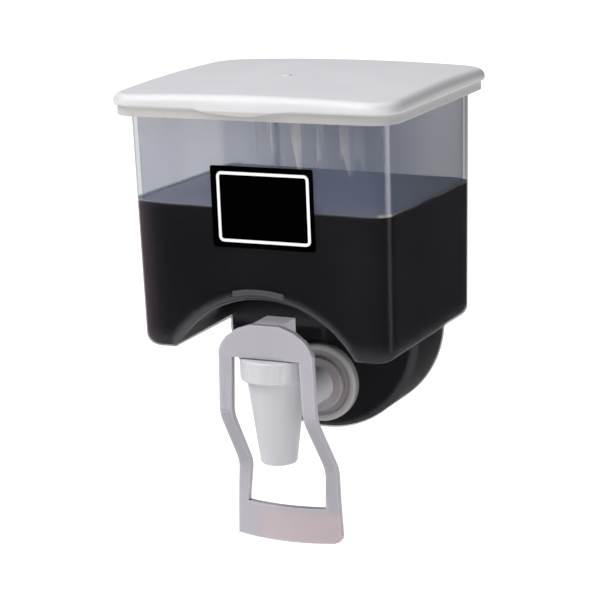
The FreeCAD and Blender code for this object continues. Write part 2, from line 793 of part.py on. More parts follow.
def spring_seat():
    return ring("spring_seat", "stem_radius + 6 * fit_gap", "chamber_radius - 2 * fit_gap",
                f"{SEAL_BOTTOM} + fit_gap", SPRING_TOP)


def return_spring():
    """Compression spring between the seat washer and the stem's collar: half turns, tilted to and fro."""
    travel = f"(stem_collar_top - ({SPRING_TOP}) - spring_wire - 4 * fit_gap)"
    rise = f"{travel} / (2 * spring_turns)"
    tilt = math.degrees(math.asin(number(rise) / (2 * number("spring_radius"))))
    across, upright = FreeCAD.Vector(0, 1, 0), FreeCAD.Vector(0, 0, 1)
    half_turns = []
    for index in range(round(2 * number("spring_turns"))):
        coil = doc.addObject("Part::Torus", "half_turn")
        bind(coil, Radius1="spring_radius", Radius2="spring_wire / 2")
        coil.Angle3 = 180
        lean = FreeCAD.Rotation(across, -tilt if index % 2 else tilt)
        facing = FreeCAD.Rotation(upright, 180 * (index % 2))
        coil.Placement.Rotation = lean.multiply(facing)
        place(coil, "0", "0", f"{rise} * ({index} + 1 / 2)")
        half_turns.append(coil)
    doc.recompute()
    spring = fuse_all("return_spring", half_turns)
    place(spring, "0", TAP_Y, f"{BONNET_Z} - stem_collar_top + spring_wire / 2 + 2 * fit_gap")
    return spring


def valve_stem():
    """Rod from the lever pin down to the plug, flat-sided at its head and barbed at its foot."""
    collar_bottom = "-(stem_collar_top + stem_collar_thickness)"
    barb_bottom = "-(stem_barb_top + stem_barb_length)"
    shoulder = "block_bottom - stem_radius"
    rod = turned("stem_rod", "XZ_Plane", [
        ("0", shoulder), ("stem_radius", shoulder), ("stem_radius", "-stem_collar_top"),
        ("stem_collar_radius", "-stem_collar_top"), ("stem_collar_radius", collar_bottom),
        ("stem_radius", collar_bottom), ("stem_radius", "-stem_barb_top"),
        ("stem_barb_radius", "-stem_barb_top"), ("stem_barb_radius", barb_bottom), ("0", barb_bottom)])
    head = doc.addObject("Part::Cylinder", "stem_head")
    bind(head, Radius="head_radius", Height="2 * head_half_width")
    head.Placement.Rotation = FreeCAD.Rotation(FreeCAD.Vector(0, 1, 0), 90)
    place(head, "-head_half_width", "0", "pin_rise")
    neck_low = ("-head_half_width", "-stem_radius + 5 * fit_gap", f"({shoulder}) - 1")
    neck_high = ("head_half_width", "stem_radius - 5 * fit_gap", "pin_rise")
    solid = fuse_all("stem_solid", [rod, head, box("stem_neck", neck_low, neck_high)])
    hole = doc.addObject("Part::Cylinder", "stem_pin_hole")
    bind(hole, Radius="pin_radius + fit_gap", Height="4 * head_half_width")
    hole.Placement.Rotation = FreeCAD.Rotation(FreeCAD.Vector(0, 1, 0), 90)
    place(hole, "-2 * head_half_width", "0", "pin_rise")
    return at_tap(boolean("Cut", "valve_stem", solid, hole))


def valve_plug():
    """Silicone plug that the stem's barb holds, resting just over the valve seat."""
    top, bottom = "-stem_barb_top", "plug_gap - seat_drop"
    barb_end = "-(stem_barb_top + stem_barb_length)"
    bore = "stem_barb_radius"
    return at_tap(turned("valve_plug", "XZ_Plane", [
        (bore, top), ("plug_radius - 1", top), ("plug_radius", f"{top} - 1"),
        ("plug_radius", bottom), ("0", bottom), ("0", barb_end), (bore, barb_end)]))


# ---------------------------------------------------------------- lever


def lever_front_outline():
    """The lever seen from the front: gabled web, two arms and the window between them."""
    body = new_body("lever_outline")
    sketch = new_sketch(body, "XZ_Plane", "-2 * lever_front")
    right = [("gable_half_width", "gable_rise"), ("slope_half_width", "slope_rise"),
             ("shoulder_half_width", "shoulder_rise"), ("shoulder_low_half_width", "shoulder_low_rise"),
             ("arm_top_out", "arm_top_rise"), ("kink_top_out", "-kink_top"),
             ("kink_bottom_out", "-kink_bottom"), ("bar_top_out", "-bar_top"), ("bar_out", "-bar_bottom")]
    left = [(f"-({x})", z) for x, z in reversed(right)]
    add_outline(sketch, right + left)
    pad(sketch, "4 * lever_front")
    sketch = new_sketch(body, "XZ_Plane", "-2 * lever_front")
    right = [("arm_top_in", "lever_foot_rise"), ("kink_top_in", "-kink_top"),
             ("kink_bottom_in", "-kink_bottom"), ("bar_in", "-bar_bottom - 1")]
    left = [(f"-({x})", z) for x, z in reversed(right)]
    add_outline(sketch, right + left)
    pocket(sketch, "4 * lever_front")
    return body


def lever_side_strip():
    """The lever seen from the side: a strip cranked back between its upper and lower planes."""
    body = new_body("lever_strip")
    sketch = new_sketch(body, "YZ_Plane", "-2 * bar_out")
    half = "lever_thickness / 2"
    lean = "atan((lever_front + lever_back) / (kink_bottom - kink_top))"
    shift = f"{half} * tan({lean} / 2)"
    front, back = "-lever_front", "lever_back"
    add_outline(sketch, [
        (f"{front} - {half}", "gable_rise"), (f"{front} - {half}", f"-kink_top - {shift}"),
        (f"{back} - {half}", f"-kink_bottom - {shift}"), (f"{back} - {half}", "-bar_bottom - 1"),
        (f"{back} + {half}", "-bar_bottom - 1"), (f"{back} + {half}", f"-kink_bottom + {shift}"),
        (f"{front} + {half}", f"-kink_top + {shift}"), (f"{front} + {half}", "gable_rise")])
    pad(sketch, "4 * bar_out")
    return body


def lever_bar():
    """The push bar across the foot of the lever, bowed forward in plan."""
    radius = "(bar_out ^ 2 + bar_bow ^ 2) / (2 * bar_bow)"
    middle = f"lever_back - bar_bow + {radius}"
    shells = []
    for name, sign in (("outer", "+"), ("inner", "-")):
        shell = doc.addObject("Part::Cylinder", f"bar_{name}")
        bind(shell, Radius=f"{radius} {sign} lever_thickness / 2", Height="bar_bottom - bar_top")
        place(shell, "0", middle, "-bar_bottom")
        shells.append(shell)
    doc.recompute()
    tube = boolean("Cut", "bar_tube", *shells)
    low = ("-bar_out", "-lever_front", "-bar_bottom")
    high = ("bar_out", "lever_back + lever_thickness", "-bar_top")
    return boolean("Common", "bar", tube, box("bar_span", low, high))


def lever():
    """One moulding: cranked frame, push bar and the block that straddles the stem's head."""
    frame = boolean("Common", "lever_frame", lever_front_outline(), lever_side_strip())
    front = "-lever_front"
    block = box("lever_block", ("-block_half_width", front, "block_bottom"),
                ("block_half_width", "block_back", "gable_rise"))
    solid = fuse_all("lever_solid", [frame, lever_bar(), block])
    slot = "head_half_width + slide_gap"
    slot_front = f"{front} + lever_thickness / 2 + block_front_wall"
    gap = box("lever_slot", (f"-({slot})", slot_front, "block_bottom - 1"),
              (slot, "block_back + 1", "gable_rise - block_roof"))
    slotted = boolean("Cut", "lever_slotted", solid, gap)
    hole = doc.addObject("Part::Cylinder", "lever_pin_hole")
    bind(hole, Radius="pin_radius", Height="4 * block_half_width")
    hole.Placement.Rotation = FreeCAD.Rotation(FreeCAD.Vector(0, 1, 0), 90)
    place(hole, "-2 * block_half_width", "0", "pin_rise")
    return at_tap(boolean("Cut", "lever", slotted, hole))


def lever_pin():
    pin = doc.addObject("Part::Cylinder", "lever_pin")
    pin.Label = "lever_pin"
    bind(pin, Radius="pin_radius", Height="2 * block_half_width - 2 * slide_gap")
    pin.Placement.Rotation = FreeCAD.Rotation(FreeCAD.Vector(0, 1, 0), 90)
    place(pin, "slide_gap - block_half_width", TAP_Y, f"{BONNET_Z} + pin_rise")
    return pin


# ---------------------------------------------------------------- assembly


SUB_PARTS = (
    wall_plate, tank, lid, label_plate, label_outline, tap_body, bonnet_cap, outer_seal_washer,
    inner_seal_washer, lock_nut, bonnet_seal, stem_seal, spring_seat, return_spring, valve_stem,
    valve_plug, lever, lever_pin,
)


def check_and_write(nodes):
    """Refuses a failed object or shape, then writes one file per sub-part."""
    doc.recompute()
    for item in doc.Objects:
        bad = {"Invalid", "Error"} & set(item.State)
        if bad:
            raise RuntimeError(f"{item.Label} is {bad}")
    os.makedirs("parts", exist_ok=True)
    for node in nodes:
        shape = node.Shape
        if shape.isNull() or not shape.isValid() or shape.Volume <= 0:
            raise RuntimeError(f"{node.Label} has no valid shape")
        shape.exportStep(f"parts/{node.Label}.step")
        size = shape.BoundBox
        print(f"{node.Label:20s} {len(shape.Solids)} solid  {shape.Volume:10.1f} mm3  "
              f"{size.XLength:6.1f} {size.YLength:6.1f} {size.ZLength:6.1f}")


check_and_write([make() for make in SUB_PARTS])
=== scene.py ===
import math

import bmesh
import bpy
from mathutils import Matrix, Vector

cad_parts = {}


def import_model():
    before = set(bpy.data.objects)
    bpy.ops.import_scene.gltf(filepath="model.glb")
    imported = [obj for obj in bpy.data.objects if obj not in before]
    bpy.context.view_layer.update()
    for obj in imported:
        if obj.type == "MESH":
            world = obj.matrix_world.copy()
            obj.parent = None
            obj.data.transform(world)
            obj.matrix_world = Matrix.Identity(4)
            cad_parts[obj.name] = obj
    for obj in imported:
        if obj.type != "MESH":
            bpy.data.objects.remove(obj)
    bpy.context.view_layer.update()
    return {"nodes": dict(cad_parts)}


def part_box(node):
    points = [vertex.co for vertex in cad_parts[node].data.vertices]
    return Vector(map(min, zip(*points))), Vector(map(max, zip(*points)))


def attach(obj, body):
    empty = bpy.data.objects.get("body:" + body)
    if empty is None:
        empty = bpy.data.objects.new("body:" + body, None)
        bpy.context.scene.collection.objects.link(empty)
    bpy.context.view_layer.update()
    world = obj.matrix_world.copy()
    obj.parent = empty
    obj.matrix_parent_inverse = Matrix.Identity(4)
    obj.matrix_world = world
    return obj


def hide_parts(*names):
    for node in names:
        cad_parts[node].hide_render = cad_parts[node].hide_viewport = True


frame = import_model()
nodes = frame["nodes"]
MM = 0.001


# ---------------------------------------------------------------- places taken from the frame


def middle(node):
    """The middle of a node's box."""
    low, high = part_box(node)
    return (low + high) / 2


LID_LOW, LID_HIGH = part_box("lid")
TANK_LOW, TANK_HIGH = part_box("tank")
# the middle of the screw cap's top, on the valve's upright axis
VALVE = Vector((0, middle("bonnet_cap").y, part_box("bonnet_cap")[1].z))
INLET_Z = middle("outer_seal_washer").z
FLANGE_LOW, FLANGE_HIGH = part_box("outer_seal_washer")
# the tank's walls at its rim, without the narrow flange round them
TANK_HALF_WIDTH = 57.15 * MM
TANK_BACK_Y = middle("lid").y + 48.55 * MM
LID_CENTRE = Vector((0, middle("lid").y, TANK_HIGH.z))
# the lid top's slight dome, in mm
CROWN_RADIUS = 1150.0


# ---------------------------------------------------------------- materials


def new_material(name):
    """A node material, its node tree and its Principled shader."""
    material = bpy.data.materials.new(name)
    material.use_nodes = True
    tree = material.node_tree
    shader = tree.nodes["Principled BSDF"]
    return material, tree, shader


def position(tree):
    """The object's own coordinates, which are the row frame's, in metres."""
    return tree.nodes.new("ShaderNodeTexCoord").outputs["Object"]


def noise(tree, scale, detail=3.0, stretch=(1, 1, 1)):
    """Noise over the object's own coordinates, in repeats per metre."""
    mapping = tree.nodes.new("ShaderNodeMapping")
    mapping.inputs["Scale"].default_value = stretch
    tree.links.new(position(tree), mapping.inputs["Vector"])
    field = tree.nodes.new("ShaderNodeTexNoise")
    field.inputs["Scale"].default_value = scale
    field.inputs["Detail"].default_value = detail
    tree.links.new(mapping.outputs["Vector"], field.inputs["Vector"])
    return field.outputs["Fac"]


def coordinate(tree, axis):
    """One of the object's own coordinates, in metres."""
    split = tree.nodes.new("ShaderNodeSeparateXYZ")
    tree.links.new(position(tree), split.inputs["Vector"])
    return split.outputs[axis]


def spread(tree, source, low, high, start=0.3, end=0.7):
    """Maps a field from start-end to low-high, clamped."""
    remap = tree.nodes.new("ShaderNodeMapRange")
    remap.inputs["From Min"].default_value = start
    remap.inputs["From Max"].default_value = end
    remap.inputs["To Min"].default_value = low
    remap.inputs["To Max"].default_value = high
    tree.links.new(source, remap.inputs["Value"])
    return remap.outputs["Result"]


def combine(tree, operation, first, second):
    """A math node; either operand can be a field or a number."""
    node = tree.nodes.new("ShaderNodeMath")
    node.operation = operation
    for socket, value in zip(node.inputs, (first, second)):
        if isinstance(value, (int, float)):
            socket.default_value = value
        else:
            tree.links.new(value, socket)
    return node.outputs[0]


def blend(tree, factor, first, second):
    """Mixes two colours, each a triple or a field, by a factor."""
    mix = tree.nodes.new("ShaderNodeMix")
    mix.data_type = "RGBA"
    # the colour sockets of this node share their names with its number sockets
    for socket, value in ((mix.inputs[6], first), (mix.inputs[7], second)):
        if isinstance(value, tuple):
            socket.default_value = (*value, 1)
        else:
            tree.links.new(value, socket)
    tree.links.new(factor, mix.inputs[0])
    return mix.outputs[2]


def relief(tree, shader, height, strength, distance):
    """Lets a field stand out as fine relief; distance is its height in metres."""
    node = tree.nodes.new("ShaderNodeBump")
    node.inputs["Strength"].default_value = strength
    node.inputs["Distance"].default_value = distance
    tree.links.new(height, node.inputs["Height"])
    tree.links.new(node.outputs["Normal"], shader.inputs["Normal"])


def moulded(name, colour, darker, rough, ripple=40, grain=700, depth=0.01 * MM, **sockets):
    """Moulded plastic: slow colour drift, flow ripple, fine grain and uneven gloss."""
    material, tree, shader = new_material(name)
    cloud = noise(tree, ripple, 4)
    tree.links.new(blend(tree, spread(tree, cloud, 0, 1), colour, darker), shader.inputs["Base Color"])
    fine = noise(tree, grain, 2)
    tree.links.new(spread(tree, fine, *rough), shader.inputs["Roughness"])
    relief(tree, shader, combine(tree, "ADD", fine, cloud), 0.3, depth)
    for socket, value in sockets.items():
        shader.inputs[socket.replace("_", " ")].default_value = value
    return material


# the tank hangs about a degree out of true, so the liquid's level slopes a little across it
LIQUID_LEVEL = 29.67 * MM
LEVEL_SLOPE = Vector((-0.014, -0.0165))
RIM_FLANGE = 1.2 * MM
FRONT_Y = TANK_LOW.y + RIM_FLANGE
# the arched recess, the tank's flat floor and the half-round sump drum, from the rim down
ARCH_Z = TANK_HIGH.z - 126.9 * MM
ARCH_RADIUS = 46.5 * MM
FLOOR_Z = TANK_HIGH.z - 103.5 * MM
DRUM_Z = TANK_HIGH.z - 106.0 * MM
DRUM_RADIUS = 43.6 * MM
DRUM_FRONT_Y = FLANGE_HIGH.y


def above_liquid(tree):
    """Height over the liquid's surface."""
    across = combine(tree, "MULTIPLY", coordinate(tree, "X"), -LEVEL_SLOPE.x)
    along = combine(tree, "MULTIPLY", coordinate(tree, "Y"), -LEVEL_SLOPE.y)
    height = combine(tree, "SUBTRACT", coordinate(tree, "Z"), LIQUID_LEVEL)
    return combine(tree, "ADD", height, combine(tree, "ADD", across, along))


def between(tree, source, start, end):
    """0 before start, 1 after end; end can lie below start."""
    if end > start:
        return spread(tree, source, 0, 1, start, end)
    return spread(tree, source, 1, 0, end, start)


def times(tree, *fields):
    """The product of some fields or numbers, the first of them a field."""
    out = fields[0]
    for field in fields[1:]:
        out = combine(tree, "MULTIPLY", out, field)
    return out


def most(tree, first, *others):
    """The largest of some fields."""
    out = first
    for field in others:
        out = combine(tree, "MAXIMUM", out, field)
    return out


def total(tree, first, *others):
    """The sum of some fields."""
    out = first
    for field in others:
        out = combine(tree, "ADD", out, field)
    return out


def corner_place(tree, x, y):
    """How far round the right front corner a point is: how much nearer to the side wall than to the front."""
    along = combine(tree, "SUBTRACT", FRONT_Y, y)
    across = combine(tree, "SUBTRACT", x, TANK_HALF_WIDTH)
    return combine(tree, "SUBTRACT", across, along)


def distance_from_axis(tree, x, z, axis_z):
    """Distance from a level axis that runs from front to back under the middle of the tank."""
    lift = combine(tree, "SUBTRACT", z, axis_z)
    squares = combine(tree, "ADD", times(tree, x, x), times(tree, lift, lift))
    return combine(tree, "SQRT", squares, 0.0)


def painted_corner_highlight(tree, round_corner):
    """A painted highlight: the narrow lighter line where the wall turns its right front corner.

    It lies on an upright plane through that corner, which also meets the back wall, on its left.
    """
    return times(tree, between(tree, round_corner, 1.4 * MM, 3.0 * MM),
                 between(tree, round_corner, 5.6 * MM, 4.0 * MM))


def painted_drum_light(tree, x, y, z):
    """Painted light on the sump drum: a little all over it, lifting its shade, and a painted highlight round
    its front rim.
    """
    drum = distance_from_axis(tree, x, z, DRUM_Z)
    on_drum = between(tree, z, FLOOR_Z - 1 * MM, FLOOR_Z - 4 * MM)
    # the painted highlight round the drum's front rim
    rim = times(tree, on_drum, between(tree, drum, DRUM_RADIUS - 4 * MM, DRUM_RADIUS - 2 * MM),
                between(tree, y, DRUM_FRONT_Y + 4 * MM, DRUM_FRONT_Y + 2 * MM))
    return most(tree, times(tree, rim, 0.6), times(tree, on_drum, 0.1))


def bulk_and_sheen_places(tree, x, y, z, corner_shine):
    """The arch's edge, feet, drip ledge, corners and drum, which show more of the plastic, and also a painted
    highlight and reflection where their roundings catch the light; the drum's part is painted light.
    """
    at_front = between(tree, y, FRONT_Y + 9 * MM, FRONT_Y + 5 * MM)
    arch = distance_from_axis(tree, x, z, ARCH_Z)
    band = times(tree, between(tree, arch, ARCH_RADIUS + 4.5 * MM, ARCH_RADIUS + 1 * MM), at_front)
    feet = times(tree, between(tree, z, FLOOR_Z + 9 * MM, FLOOR_Z + 1 * MM),
                 between(tree, z, FLOOR_Z - 3 * MM, FLOOR_Z - 1 * MM), 0.6)
    ledge = times(tree, between(tree, y, FRONT_Y + 0.8 * MM, FRONT_Y + 0.3 * MM),
                  between(tree, z, 4 * MM, 2 * MM), 0.8)
    return most(tree, band, feet, ledge, times(tree, corner_shine, 0.5), painted_drum_light(tree, x, y, z))


def outer_edges(tree, x, y):
    """The left front corner, and then both it and the right back one.

    A line of sight can stay inside one wall there, so they show more of the plastic; where it is dry the left
    one is also painted lighter, a painted highlight.
    """
    left = times(tree, between(tree, x, -53 * MM, -55 * MM),
                 between(tree, y, FRONT_Y + 9 * MM, FRONT_Y + 5 * MM))
    right = times(tree, between(tree, x, 52 * MM, 54 * MM),
                  between(tree, y, TANK_BACK_Y - 5 * MM, TANK_BACK_Y - 3 * MM))
    return left, most(tree, left, right)


def feed_runs(tree, x, y, z):
    """Runs of feed that dried on the right half of the front wall, each of its own length."""
    ends = spread(tree, noise(tree, 110, 1, (1, 0, 0)), 42 * MM, 64 * MM, 0.35, 0.65)
    lines = spread(tree, noise(tree, 260, 2, (1, 0.3, 0.03)), 0, 1, 0.48, 0.6)
    above_end = between(tree, combine(tree, "SUBTRACT", z, ends), -1.5 * MM, 1.5 * MM)
    return times(tree, lines, above_end, between(tree, x, -6 * MM, 0),
                 between(tree, x, 52 * MM, 34 * MM), between(tree, y, -60 * MM, -80 * MM))


def level_line(tree, x, round_corner):
    """A lighter tan line along the liquid's level at the two front corners."""
    line = times(tree, between(tree, above_liquid(tree), -0.6 * MM, -0.1 * MM),
                 between(tree, above_liquid(tree), 1.1 * MM, 0.5 * MM))
    right_corner = times(tree, between(tree, round_corner, -5 * MM, -2 * MM),
                         between(tree, round_corner, 7 * MM, 5 * MM), between(tree, x, 0, 20 * MM))
    return times(tree, line, most(tree, between(tree, x, -50 * MM, -54 * MM), right_corner))


def back_wall_shading(tree, x, y):
    """Painted shade on the back wall: its haze is denser than the front's, more so towards the middle and
    less again on its right, standing in for how the light falls across it.
    """
    behind = between(tree, y, -24 * MM, -16 * MM)
    rising = spread(tree, x, 0.12, 0.4, -50 * MM, 5 * MM)
    falling = spread(tree, x, 0, -0.24, 8 * MM, 40 * MM)
    return times(tree, behind, combine(tree, "ADD", rising, falling))


def tank_material():
    """Thin hazy plastic: bluish where it is dry, nearly black where the liquid wets it, with painted
    highlights, reflections and shade set by position.
    """
    material, tree, shader = new_material("tank_plastic")
    cloud = noise(tree, 28, 4, (1, 1, 0.3))
    clouded = spread(tree, cloud, 0, 1)
    x, y, z = (coordinate(tree, axis) for axis in "XYZ")
    dry = between(tree, above_liquid(tree), -0.2 * MM, 0.4 * MM)
    round_corner = corner_place(tree, x, y)
    corner_shine = painted_corner_highlight(tree, round_corner)
    bulk_and_sheen = bulk_and_sheen_places(tree, x, y, z, corner_shine)
    # painted reflection: a mauve light towards the left edge of the wet front, standing in for a bright place
    # to the left; it also colours the whole left wall
    left_side = between(tree, x, -40 * MM, -57 * MM)
    left_reflection = times(tree, left_side, left_side)
    left_edge, edges = outer_edges(tree, x, y)
    runs = feed_runs(tree, x, y, z)
    mark = level_line(tree, x, round_corner)
    # the dry wall's colour
    haze = blend(tree, clouded, (0.165, 0.19, 0.275), (0.135, 0.16, 0.235))
    # painted highlight: the lighter line down the dry wall's right front corner
    haze = blend(tree, times(tree, corner_shine, between(tree, x, 0, 20 * MM)), haze, (0.6, 0.6, 0.68))
    # painted shade: the front part of the right side wall darker, as it faces away from the light
    side = times(tree, between(tree, x, 53 * MM, 55 * MM), between(tree, y, -95 * MM, -30 * MM))
    haze = blend(tree, times(tree, side, 0.6), haze, (0.075, 0.085, 0.105))
    # painted highlight: the dry wall lighter at its left front corner
    haze = blend(tree, times(tree, left_edge, dry), haze, (0.26, 0.28, 0.34))
    haze = blend(tree, times(tree, runs, 0.6), haze, (0.52, 0.49, 0.48))
    # the wet wall's colour
    wet = blend(tree, clouded, (0.021, 0.022, 0.027), (0.029, 0.029, 0.036))
    # the painted mauve reflection on the wet wall's left
    wet = blend(tree, left_reflection, wet, (0.22, 0.155, 0.2))
    # partly thicker plastic, partly painted highlight: the wet wall lighter along its edges, feet, corner and
    # drum
    wet = blend(tree, bulk_and_sheen, wet, (0.15, 0.142, 0.155))
    either = blend(tree, dry, wet, haze)
    marked = blend(tree, times(tree, mark, 0.7), either, (0.5, 0.44, 0.4))
    tree.links.new(marked, shader.inputs["Base Color"])
    fine = noise(tree, 420, 3)
    tree.links.new(spread(tree, fine, 0.2, 0.3), shader.inputs["Roughness"])
    is_wet = combine(tree, "SUBTRACT", 1.0, dry)
    # the haze's density carries painted light too: the back wall's shading, the lighter edges and corner, and
    # the left reflection
    opacity = total(tree, spread(tree, cloud, 0.25, 0.31), back_wall_shading(tree, x, y),
                    times(tree, runs, 0.3), times(tree, bulk_and_sheen, 0.35), times(tree, left_reflection, is_wet, 0.3),
                    times(tree, edges, 0.4), times(tree, mark, 0.4))
    tree.links.new(opacity, shader.inputs["Alpha"])
    relief(tree, shader, fine, 0.15, 0.01 * MM)
    shader.inputs["Specular IOR Level"].default_value = 0.01
    return material


def liquid_material():
    """Dark liquid: black against the wall, with a thin tan line where it meets the air."""
    material, tree, shader = new_material("liquid")
    cloud = noise(tree, 25, 3)
    dark = blend(tree, spread(tree, cloud, 0, 1), (0.004, 0.0035, 0.004), (0.007, 0.006, 0.006))
    edge = between(tree, above_liquid(tree), -0.9 * MM, -0.3 * MM)
    edge = combine(tree, "MULTIPLY", edge, spread(tree, noise(tree, 60, 2), 0.1, 0.7))
    tree.links.new(blend(tree, edge, dark, (0.26, 0.22, 0.2)), shader.inputs["Base Color"])
    tree.links.new(spread(tree, cloud, 0.12, 0.2), shader.inputs["Roughness"])
    shader.inputs["Specular IOR Level"].default_value = 0.0
    return material


def surface_material():
    """The liquid's open surface, seen through the haze of the wall: its grey is a painted reflection, painted
    darker towards its right as shade.
    """
    material, tree, shader = new_material("liquid_surface")
    cloud = noise(tree, 18, 3)
    # painted reflection and shade: grey on the black liquid, darker towards the right
    light = blend(tree, spread(tree, cloud, 0, 1), (0.5, 0.5, 0.53), (0.44, 0.44, 0.47))
    along = spread(tree, coordinate(tree, "X"), 0, 1, -50 * MM, 45 * MM)
    tree.links.new(blend(tree, along, light, (0.28, 0.29, 0.32)), shader.inputs["Base Color"])
    tree.links.new(spread(tree, cloud, 0.05, 0.12), shader.inputs["Roughness"])
    relief(tree, shader, cloud, 0.1, 0.2 * MM)
    return material


# how far light soaks into the white mouldings, for its red, green and blue, in metres
SOAK_RADIUS = (0.004, 0.0036, 0.0042)


def milky(shader, weight, radius):
    """Light that soaks into translucent plastic, which evens out its shading."""
    shader.inputs["Subsurface Weight"].default_value = weight
    shader.inputs["Subsurface Radius"].default_value = radius
    shader.inputs["Subsurface Scale"].default_value = 1.0


def lid_material():
    """White moulding with painted shade: greyer on its rolled edge, greyer in its skirt and more so towards
    its right, and darker along its right edge.
    """
    material, tree, shader = new_material("lid_plastic")
    cloud = noise(tree, 40, 4)
    top = blend(tree, spread(tree, cloud, 0, 1), (0.75, 0.745, 0.785), (0.71, 0.705, 0.75))
    skirt = between(tree, coordinate(tree, "Z"), LID_CENTRE.z - 2.7 * MM, LID_CENTRE.z - 3.4 * MM)
    skirt_right = between(tree, coordinate(tree, "X"), -40 * MM, 62 * MM)
    right = between(tree, coordinate(tree, "X"), 58.5 * MM, 61.5 * MM)
    # a point's height as if the domed top were flat, so that its rolled edge lies below one level
    x = coordinate(tree, "X")
    y = combine(tree, "SUBTRACT", coordinate(tree, "Y"), LID_CENTRE.y)
    dome = combine(tree, "ADD", times(tree, x, x), times(tree, y, y))
    drop = combine(tree, "DIVIDE", dome, 2 * CROWN_RADIUS * MM)
    flattened = combine(tree, "ADD", coordinate(tree, "Z"), drop)
    roll = between(tree, flattened, LID_HIGH.z - 0.15 * MM, LID_HIGH.z - 1.2 * MM)
    # painted shade: the rolled edge greyer than the top, toning down the light it catches
    top = blend(tree, roll, top, (0.6, 0.595, 0.605))
    # painted shade: the skirt greyer, and darker towards its right
    skirt_shade = blend(tree, skirt_right, (0.51, 0.485, 0.475), (0.38, 0.365, 0.365))
    low = blend(tree, skirt, top, skirt_shade)
    # painted shade along the lid's right edge
    shaded = blend(tree, times(tree, right, 0.4), low, (0.36, 0.355, 0.365))
    tree.links.new(shaded, shader.inputs["Base Color"])
    fine = noise(tree, 700, 2)
    tree.links.new(spread(tree, fine, 0.4, 0.5), shader.inputs["Roughness"])
    relief(tree, shader, combine(tree, "ADD", fine, cloud), 0.3, 0.004 * MM)
    milky(shader, 0.25, SOAK_RADIUS)
    return material


def lever_material(name, glow=0.0):
    """Off-white moulding with flow ripple, faintly pink along its push bar."""
    material, tree, shader = new_material(name)
    cloud = noise(tree, 45, 4)
    plain = blend(tree, spread(tree, cloud, 0, 1), (0.4, 0.385, 0.422), (0.38, 0.365, 0.4))
    low = between(tree, coordinate(tree, "Z"), VALVE.z - 66 * MM, VALVE.z - 70 * MM)
    pink = times(tree, low, between(tree, coordinate(tree, "X"), -14 * MM, -8 * MM))
    tree.links.new(blend(tree, pink, plain, (0.45, 0.385, 0.41)), shader.inputs["Base Color"])
    fine = noise(tree, 260, 2)
    tree.links.new(spread(tree, fine, 0.3, 0.33), shader.inputs["Roughness"])
    relief(tree, shader, cloud, 0.1, 0.004 * MM)
    milky(shader, 0.6, SOAK_RADIUS)
    # a faint glow, for the hood only: it makes up for the shade that the tank throws on it,
    # and isn't a property of the plastic
    shader.inputs["Emission Color"].default_value = (0.47, 0.45, 0.49, 1)
    shader.inputs["Emission Strength"].default_value = glow
    return material


def seal_material():
    """Milky silicone, pinkish in the middle, with a painted highlight round its rim."""
    material, tree, shader = new_material("seal_silicone")
    cloud = noise(tree, 90, 4)
    inner = blend(tree, spread(tree, cloud, 0, 1), (0.32, 0.29, 0.305), (0.26, 0.235, 0.25))
    x, z = coordinate(tree, "X"), combine(tree, "SUBTRACT", coordinate(tree, "Z"), INLET_Z)
    out = combine(tree, "SQRT", combine(tree, "ADD", times(tree, x, x), times(tree, z, z)), 0.0)
    # painted highlight round the rim
    rim = between(tree, out, 12.5 * MM, 15.5 * MM)
    tree.links.new(blend(tree, rim, inner, (0.36, 0.355, 0.36)), shader.inputs["Base Color"])
    tree.links.new(spread(tree, cloud, 0.3, 0.45), shader.inputs["Roughness"])
    relief(tree, shader, noise(tree, 500, 2), 0.2, 0.006 * MM)
    milky(shader, 0.4, (0.003, 0.0025, 0.0028))
    return material


TANK = tank_material()
LIQUID = liquid_material()
SURFACE = surface_material()
LID = lid_material()
TAP = moulded("tap_plastic", (0.52, 0.52, 0.548), (0.5, 0.5, 0.526), (0.31, 0.33), depth=0.0012 * MM,
              Subsurface_Weight=0.25, Subsurface_Radius=SOAK_RADIUS, Subsurface_Scale=1.0)
LEVER = lever_material("lever_plastic")
HOOD = lever_material("hood_plastic", glow=0.45)
SEAL = seal_material()
HANGER = moulded("hanger_plastic", (0.5, 0.5, 0.52), (0.46, 0.46, 0.48), (0.4, 0.55))
STEEL = moulded("steel", (0.55, 0.55, 0.56), (0.48, 0.48, 0.49), (0.25, 0.4), Metallic=1.0)
BLACK = moulded("label_film", (0.0003, 0.0003, 0.0003), (0.0006, 0.0006, 0.0006), (0.6, 0.7),
                Specular_IOR_Level=0.0)
WHITE = moulded("label_ink", (0.85, 0.85, 0.86), (0.8, 0.8, 0.82), (0.5, 0.6))


# ---------------------------------------------------------------- mesh helpers


def show(name, data, body, material, slot, *replaced):
    """Puts a mesh into the scene as a piece that rides on a body and stands for CAD nodes."""
    piece = bpy.data.objects.new(name, data)
    bpy.context.scene.collection.objects.link(piece)
    data.materials.clear()
    data.materials.append(material)
    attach(piece, body)
    if replaced:
        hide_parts(*replaced)
    return piece


def finish_mesh(name, mesh, smooth_angle=40):
    """Turns a bmesh into mesh data, smooth except across edges sharper than the angle."""
    bmesh.ops.recalc_face_normals(mesh, faces=mesh.faces)
    limit = math.radians(smooth_angle)
    for face in mesh.faces:
        face.smooth = True
    for edge in mesh.edges:
        edge.smooth = len(edge.link_faces) == 2 and edge.calc_face_angle(0) < limit
    data = bpy.data.meshes.new(name)
    mesh.to_mesh(data)
    mesh.free()
    return data


